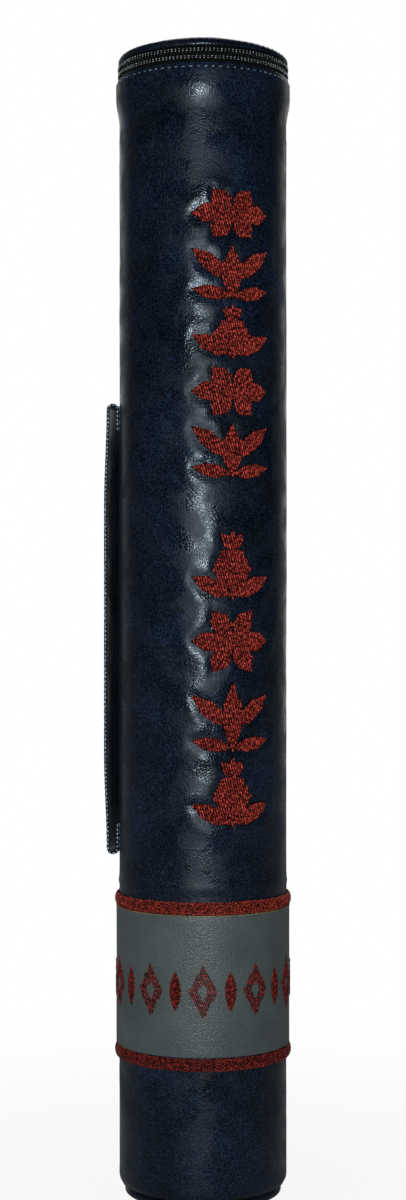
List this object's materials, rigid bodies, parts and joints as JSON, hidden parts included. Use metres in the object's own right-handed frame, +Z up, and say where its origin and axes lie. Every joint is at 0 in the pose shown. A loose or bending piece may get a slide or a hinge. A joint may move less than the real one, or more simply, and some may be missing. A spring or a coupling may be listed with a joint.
{
  "type": "megillah case",
  "caption": "Tall round scroll case: stiff tube in a soft cover with a banded foot, side strap, embroidered motifs and a hinged lid closed by a coil zip.",
  "frame": {"origin": "middle of the flat underside of the base disc, on the tube's axis", "axes": "+Z up along the tube, strap on -X, lid hinge at the back on +Y, motifs on the front right between -Y and +X"},
  "size_m": [0.0782, 0.0745, 0.476],
  "materials": {
    "navy_leather": "satin",
    "slate_leather": "matte",
    "crimson_thread": "satin",
    "black_nylon": "satin",
    "black_cloth": "matte",
    "navy_lining": "matte",
    "grey_board": "matte",
    "dark_metal": "satin"
  },
  "bodies": {
    "case_body": {"inner_tube": "grey_board", "tube_lining": "navy_lining", "bottom_board": "grey_board", "floor_pad": "navy_lining", "base_disc": "navy_leather", "body_cover": "navy_leather", "grey_band": "slate_leather", "band_piping_lower": "crimson_thread", "band_piping_upper": "crimson_thread", "handle_strap": "navy_leather", "embroidered_motif_1": "crimson_thread", "embroidered_motif_2": "crimson_thread", "embroidered_motif_3": "crimson_thread", "embroidered_motif_4": "crimson_thread", "embroidered_motif_5": "crimson_thread", "embroidered_motif_6": "crimson_thread", "embroidered_motif_7": "crimson_thread", "embroidered_motif_8": "crimson_thread", "embroidered_motif_9": "crimson_thread", "zipper_tape_body": "black_cloth", "zipper_coil_body": "black_nylon", "zipper_tape_end_right": "black_cloth", "zipper_tape_end_left": "black_cloth", "zipper_coil_end_right": "black_nylon", "zipper_coil_end_left": "black_nylon", "zipper_stop_closed_lower": "dark_metal", "zipper_stop_closed_upper": "dark_metal", "zipper_stop_open": "dark_metal", "hinge_leather_body": "navy_leather"},
    "lid": {"lid_cover": "navy_leather", "lid_padding": "navy_lining", "lid_board": "grey_board", "lid_lining": "navy_lining", "zipper_tape_lid": "black_cloth", "zipper_coil_lid": "black_nylon", "hinge_leather_lid": "navy_leather"},
    "slider": {"slider_body": "dark_metal"},
    "pull": {"pull_tab": "dark_metal"}
  },
  "joints": [
    {"name": "lid_hinge", "type": "hinge", "parent": "case_body", "child": "lid", "pos_m": [0, 0.038, 0.46705], "axis": [-1, 0, 0], "range_deg": [0, 120]},
    {"name": "slider_travel", "type": "hinge", "parent": "case_body", "child": "slider", "pos_m": [0, 0, 0.46705], "axis": [0, 0, 1], "range_deg": [-292, 0], "deforming": ["zipper_coil_body", "zipper_coil_lid", "zipper_coil_end_left"]},
    {"name": "pull_swing", "type": "hinge", "parent": "slider", "child": "pull", "pos_m": [0.02319, 0.03044, 0.46705], "axis": [0.5592, 0.829, 0], "range_deg": [-60, 45]}
  ]
}
